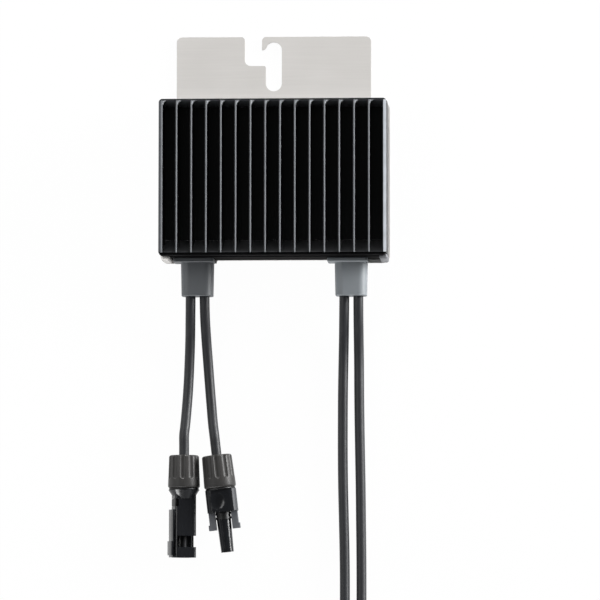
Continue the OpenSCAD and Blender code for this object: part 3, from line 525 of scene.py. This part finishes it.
def bore(piece, place, radius, depth, vertices=64):
    bpy.ops.object.select_all(action="DESELECT")
    bpy.ops.mesh.primitive_cylinder_add(vertices=vertices, radius=radius * mm, depth=depth * mm,
                                        location=metres(place))
    drill = bpy.context.object
    bpy.ops.object.transform_apply()
    combine(piece, drill, "DIFFERENCE")


screws = dressed_copy("cover_screws", "countersunk_screws", edge=0.1 * mm)
for x, y in [(x, y) for x in screw_xs for y in screw_ys]:
    bore(screws, (x, y, 0), radius=1.15, depth=2.4, vertices=6)
dress(screws, zinc_plate)

# Boots: moulded thermoplastic rubber strain reliefs, one for each pair of leads, with a flange
# that is held on the housing's lower wall.
input_boot = dressed_copy("input_boot", "input_strain_relief", edge=0.5 * mm, segments=3)
output_boot = dressed_copy("output_boot", "output_strain_relief", edge=0.5 * mm, segments=3)

# Thermoplastic rubber from a spark-eroded mould: an even matt grey, the same on both boots. The
# input boot is drawn darker as painted shade, and the output boot lighter as painted light.
dress(input_boot, grained_finish("sparked_rubber_shaded", "#5a5d60", "#636669", cloud=9 * mm,
                                 grain=0.6 * mm, rough=(0.42, 0.54), relief=0.1))
dress(output_boot, grained_finish("sparked_rubber_lit", "#7d8286", "#888d91", cloud=9 * mm,
                                  grain=0.6 * mm, rough=(0.42, 0.54), relief=0.1))

# Leads: four black single-core solar cables, an extruded sheath over stranded copper. The two
# short ones run to their connectors. The long ones leave the picture and lie wound in a coil each.
lead_mm = 5.7
lead_d = lead_mm * mm
boot_z = 10.5
boot_ys = (-46.05, -60.65, -75.25)
lead_xs = {"input_plus": -48, "input_minus": -40, "output_plus": 40, "output_minus": 48}

# Where each connector starts, and its heading in degrees, turned from -Y towards +X.
places = {
    "input_plus": ((-51.6, -166, 9.15), 0), "input_minus": ((-33, -166, 9.15), 6.6),
    "output_plus": ((10.15, -318, 21.35), -90), "output_minus": ((79.35, -318, 21.35), 90)}

# Extruded cross-linked sheath: dull charcoal, with a faint grain of talc.
lead_sheath = grained_finish("extruded_sheath", "#222326", "#2b2c2f", cloud=14 * mm,
                             grain=0.7 * mm, rough=(0.42, 0.54), relief=0.08, specular=0.45)


def lay_lead(lead_name, free_run, steps_in):
    points = [(lead_xs[lead_name], y, boot_z) for y in boot_ys] + free_run
    (x, y, z), heading = places[lead_name]
    turn = math.radians(heading)
    points += [(x + a * math.sin(turn), y - a * math.cos(turn), z) for a in steps_in]
    curve = bpy.data.curves.new(lead_name + "_cable", "CURVE")
    curve.dimensions = "3D"
    curve.bevel_depth = lead_d / 2
    curve.bevel_resolution = 5
    curve.resolution_u = 8
    curve.use_fill_caps = True
    spline = curve.splines.new("BEZIER")
    spline.bezier_points.add(len(points) - 1)
    for knot, point in zip(spline.bezier_points, points):
        knot.co = Vector(point) * mm
        knot.handle_left_type = knot.handle_right_type = "AUTO"
    lead = bpy.data.objects.new(lead_name + "_cable", curve)
    bpy.context.scene.collection.objects.link(lead)
    dress(lead, lead_sheath)
    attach(lead, "root")
    return lead


# How far in from the connector's start the lead is led along its axis, point by point.
short_steps_in = (-11.4, -5.7, 0, 7, 14)
long_steps_in = (-3, 4, 14)
lay_lead("input_plus", [
    (-48.2, -88, 8.6), (-48.6, -100, 4.8), (-49.1, -112, 2.9), (-49.7, -126, 2.9),
    (-50.4, -138, 4.6), (-51.1, -149, 7.9)], short_steps_in)
lay_lead("input_minus", [
    (-39.8, -88, 8.6), (-39.3, -100, 4.8), (-38.5, -112, 2.9), (-37.4, -126, 2.9),
    (-36.3, -138, 4.6), (-35.1, -149, 7.9)], short_steps_in)

coil_y = -293
coil_r = 34.35
coil_turns = 3.75
coil_steps = 75
first_layer_z, tail_z = 3.65, 15.05
coil_tail = [(8, 30.5, 0), (16, 27.2, 0.1), (27.3, 15.8, 0.9), (31.5, 0, 2.6), (28.2, -12.5, 4.5),
             (19, -21.6, 5.9), (12, -24.3, 6.3)]


def eased(s, start, end):
    t = min(max((s - start) / (end - start), 0), 1)
    return t * t * (3 - 2 * t)


# Turn by turn, a coil steps one lead inwards, one up, one outwards and one up, and then leaves.
def coil_run(x, side):
    points = []
    for i in range(1, coil_steps + 1):
        s = coil_turns * i / coil_steps
        r = (coil_r - lead_mm * eased(s, 0.86, 1.0) + lead_mm * eased(s, 2.58, 2.72)
             - lead_mm / 2 * eased(s, 3.55, 3.75))
        z = first_layer_z + lead_mm * eased(s, 1.72, 1.86) + lead_mm * eased(s, 3.36, 3.66)
        angle = -2 * math.pi * s
        points.append((x + side * r * math.cos(angle), coil_y + r * math.sin(angle), z))
    return points + [(x + side * a, coil_y + b, tail_z + c) for a, b, c in coil_tail]


lay_lead("output_plus", [
    (39.8, -88, 8.6), (39.5, -100, 4.8), (39.2, -112, 2.9), (38.9, -130, 2.9), (38.8, -148, 2.9),
    (38.8, -166, 2.9), (39, -184, 2.9), (39.4, -202, 2.9), (39.8, -220, 2.9), (40, -238, 3.1),
    (40, -254, 3.5), (40, -271, 3.65), (40, -282, 3.65)] + coil_run(x=5.65, side=1),
    long_steps_in)
lay_lead("output_minus", [
    (48, -88, 8.6), (48, -100, 4.8), (48.1, -112, 2.9), (48.2, -130, 2.9), (48.4, -148, 2.9),
    (48.7, -166, 2.9), (49, -184, 2.9), (49.2, -202, 2.9), (49.4, -220, 2.9), (49.5, -238, 3.1),
    (49.5, -254, 3.5), (49.5, -271, 3.65), (49.5, -282, 3.65)] + coil_run(x=83.85, side=-1),
    long_steps_in)
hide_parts("input_plus_lead")
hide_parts("input_minus_lead")
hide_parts("output_plus_lead", "output_plus_coil", "output_plus_tail")
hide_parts("output_minus_lead", "output_minus_coil", "output_minus_tail")

# Clamping nuts: glass-filled nylon, moulded with twelve broad shallow grip flutes that end round,
# and a rounded shoulder at the lead. Each is screwed on its connector, and one is modelled for all.
nut_length = 18.8 * mm
nut_lead_r = 8.55 * mm
nut_body_r = 9.15 * mm
bpy.ops.object.select_all(action="DESELECT")
bpy.ops.mesh.primitive_cone_add(vertices=144, radius1=nut_lead_r, radius2=nut_body_r,
                                depth=nut_length, location=(0, 0, nut_length / 2))
nut_pattern = bpy.context.object
bpy.ops.object.transform_apply()
round_edges(nut_pattern, width=1.3 * mm, segments=5, angle=60)

# A flute is cut by a stretched ball with a round upper end, leaning with the nut's taper.
flute_count = 12
flute_half = Vector((1.5 * mm, 2.05 * mm, 2.05 * mm))
flute_end_z = 12 * mm
flute_stretch = 16 * mm
flute_r = nut_lead_r + 0.8 * mm
flute_lean = Matrix.Rotation(math.radians(1.8), 4, "Y")
bpy.ops.mesh.primitive_uv_sphere_add(segments=32, ring_count=24, radius=1)
flute_pattern = bpy.context.object
for point in flute_pattern.data.vertices:
    point.co = point.co * flute_half + Vector((0, 0, flute_end_z))
    if point.co.z < flute_end_z:
        point.co.z -= flute_stretch
flutes = joined([
    moved_copy(flute_pattern, "flute", Matrix.Rotation(2 * math.pi * i / flute_count, 4, "Z")
               @ Matrix.Translation((flute_r, 0, 0)) @ flute_lean)
    for i in range(flute_count)])
bpy.data.objects.remove(flute_pattern)
combine(nut_pattern, flutes, "DIFFERENCE")
for radius, low, high in ((3.05, -1, 4), (6.2, 3, 20)):
    bore(nut_pattern, (0, 0, (high + low) / 2), radius, depth=high - low)

# Glass-filled nylon: a warm dark grey with a low sheen, because the glass dulls its skin.
nut_plastic = grained_finish("glass_filled_nylon", "#333231", "#3c3b3a", cloud=8 * mm,
                             grain=0.5 * mm, rough=(0.36, 0.46), relief=0.05, specular=0.28)


# A connector's axes: its length runs along Z, away from the lead, and Y is up.
def along(place):
    at, heading = place
    return (Matrix.Translation(metres(at)) @ Matrix.Rotation(math.radians(heading), 4, "Z")
            @ Matrix.Rotation(math.pi / 2, 4, "X"))


def copy_along(pattern, name, place):
    piece = moved_copy(pattern, name, along(place))
    select_only(piece)
    bpy.ops.object.shade_smooth_by_angle(angle=math.radians(32))
    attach(piece, "root")
    return piece


cord_pieces = {}
for lead_name, place in places.items():
    nut = copy_along(nut_pattern, lead_name + "_clamp_nut", place)
    dress(nut, nut_plastic)
    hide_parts(lead_name + "_nut")
    cord_pieces[lead_name] = [nut]
bpy.data.objects.remove(nut_pattern)

# Painted shade: flat rings of black rubber, shaped as punched washers, that fill the gap between
# each nut and its body, where shade falls.
shade_ring_z = 19.3
bpy.ops.object.select_all(action="DESELECT")
bpy.ops.mesh.primitive_cylinder_add(vertices=96, radius=8.5 * mm, depth=0.9 * mm,
                                    location=(0, 0, shade_ring_z * mm))
shade_ring_pattern = bpy.context.object
bpy.ops.object.transform_apply()
round_edges(shade_ring_pattern, width=0.25 * mm, segments=3, angle=60)
bore(shade_ring_pattern, (0, 0, shade_ring_z), radius=6.1, depth=2)

# Seal rubber: near black and half dull.
seal_rubber = grained_finish("seal_rubber", "#070708", "#0c0c0d", cloud=2 * mm,
                             grain=0.5 * mm, rough=(0.4, 0.5), relief=0.08)
for lead_name, place in places.items():
    shade_ring = copy_along(shade_ring_pattern, lead_name + "_washer", place)
    dress(shade_ring, seal_rubber)
    cord_pieces[lead_name].append(shade_ring)
bpy.data.objects.remove(shade_ring_pattern)

# Connector bodies: moulded from a black polycarbonate blend. The hollow one has a turned
# box-shaped shell with a window, the other a dished block with a nose and two barbed arms.
nosed_leads = [lead_name for lead_name in places if lead_name + "_ring" in frame["nodes"]]
shell_turn = Matrix.Rotation(math.radians(-19), 4, "Z")
window_place, window_size = (6.1, 2.2, 49.2), (2.8, 8.6, 6.4)
dish_place, dish_half = (-2.2, 6.9, 26.3), (4.6, 1.2, 5.2)
arm_across, arm_start = 4.3 * mm, 32.7 * mm
cheek_across = 6.8 * mm
arm, cheek = 1, 2

# Polycarbonate blend from a polished mould: glossy black.
body_plastic = grained_finish("moulded_polycarbonate", "#131416", "#1c1d20", cloud=8 * mm,
                              grain=1.5 * mm, rough=(0.14, 0.24), relief=0.04)
# The same plastic from a spark-eroded mould: dull, and drawn mid grey on the arms as a painted
# sheen.
arm_sheen_plastic = grained_finish("sparked_polycarbonate_sheen", "#54565a", "#606266", cloud=3 * mm,
                             grain=0.4 * mm, rough=(0.45, 0.6), relief=0.1)
# The same plastic, dull, drawn dark grey on the right cheek of the dished block as painted light,
# where light falls on that side.
lit_cheek_plastic = grained_finish("lit_polycarbonate", "#2f3134", "#3a3c40", cloud=3 * mm,
                               grain=0.4 * mm, rough=(0.45, 0.6), relief=0.1)
for lead_name, place in places.items():
    if lead_name in nosed_leads:
        bpy.ops.object.select_all(action="DESELECT")
        bpy.ops.mesh.primitive_uv_sphere_add(segments=48, ring_count=32, radius=1)
        cutter = bpy.context.object
        cutter.data.transform(along(place) @ Matrix.Translation(metres(dish_place))
                              @ Matrix.Diagonal(metres(dish_half) + [1]))
    else:
        cutter = box_at(window_place, window_size)
        cutter.data.transform(along(place) @ shell_turn)
    body = dressed_copy(lead_name + "_body", lead_name + "_connector", edge=0.35 * mm, segments=3,
                        cutters=[cutter])
    dress(body, body_plastic)
    body.data.materials.append(arm_sheen_plastic)
    body.data.materials.append(lit_cheek_plastic)
    cord_pieces[lead_name].append(body)
    if lead_name in nosed_leads:
        for face in body.data.polygons:
            across, _, forward = along(place).inverted() @ face.center
            if abs(across) > arm_across and forward > arm_start:
                face.material_index = arm
            elif across > cheek_across:
                face.material_index = cheek

# Seals, contacts and sealing rings: a rubber gland under each nut, a crimped copper contact in
# each body and a rubber sleeve on each nose. They keep their CAD shapes.

# Silver plate drawn dark grey and half dull as painted shade for the dark inside of the windows.
# Only the windows show it.
shaded_silver = grained_finish("shaded_silver_plate", "#1d1d1f", "#29292b", cloud=2 * mm,
                             grain=0.3 * mm, rough=(0.5, 0.65), relief=0.05, metallic=0.6)
for lead_name in places:
    for part, finish in (("_seal", seal_rubber), ("_contact", shaded_silver), ("_ring", seal_rubber)):
        if lead_name + part in frame["nodes"]:
            dress(frame["nodes"][lead_name + part], finish)
            cord_pieces[lead_name].append(frame["nodes"][lead_name + part])

# Latch blocks and side rails: moulded details of the hollow bodies, a block where the latch bears
# and a rail with a barb along one side. The block is matt like the seals, the rail glossy.
latch_place, latch_size = (-5.35, 0, 27), (1.7, 8.4, 4.2)
rail_place, rail_size = (-6.925, -0.3, 44.6), (1.35, 9, 27.2)
barb_place, barb_size = (-7.325, -0.3, 53), (2.15, 9, 8)
for lead_name, place in places.items():
    if lead_name in nosed_leads:
        continue
    latch = box_at(latch_place, latch_size)
    latch.name = lead_name + "_latch_block"
    rail = box_at(rail_place, rail_size)
    rail.name = lead_name + "_side_rail"
    combine(rail, box_at(barb_place, barb_size), "UNION")
    for piece, finish in ((latch, seal_rubber), (rail, body_plastic)):
        round_edges(piece, width=0.4 * mm, segments=3, angle=35)
        piece.data.transform(along(place) @ shell_turn)
        bpy.ops.object.shade_smooth_by_angle(angle=smooth_angle)
        dress(piece, finish)
        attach(piece, "root")
        cord_pieces[lead_name].append(piece)

# Ties: woven nylon hook-and-loop straps, cut from tape, drawn tight round the coils of the two
# long leads and closed on themselves.

# Woven nylon: dull black with a soft sheen. A wave of scale 1 / (9 mm) repeats every 2.8 mm, so
# the threads are drawn much coarser than real ones, because those would not show.
weave_scale = 1 / (9 * mm)
woven_strap, tree, shader, coords = new_finish("woven_nylon")
warp = add_node(tree, "ShaderNodeTexWave", {
    "Vector": coords, "Scale": weave_scale, "Distortion": 0.3}, bands_direction="X")
weft = add_node(tree, "ShaderNodeTexWave", {
    "Vector": coords, "Scale": weave_scale, "Distortion": 0.3}, bands_direction="Z")
threads = add_node(tree, "ShaderNodeMath", {0: warp.outputs["Fac"], 1: weft.outputs["Fac"]},
                   operation="MAXIMUM")
tint = add_node(tree, "ShaderNodeMix", {
    0: threads.outputs[0], 6: linear("#0e0e0f"), 7: linear("#252628")}, data_type="RGBA")
relief = add_node(tree, "ShaderNodeBump", {
    "Height": threads.outputs[0], "Strength": 0.5, "Distance": 0.15 * mm})
tree.links.new(tint.outputs[2], shader.inputs["Base Color"])
tree.links.new(relief.outputs[0], shader.inputs["Normal"])
shader.inputs["Roughness"].default_value = 0.75
shader.inputs["Sheen Weight"].default_value = 0.2
for lead_name in ("output_plus", "output_minus"):
    tie = dressed_copy(lead_name + "_tie", lead_name + "_strap", edge=0.15 * mm)
    dress(tie, woven_strap)
    cord_pieces[lead_name].append(tie)
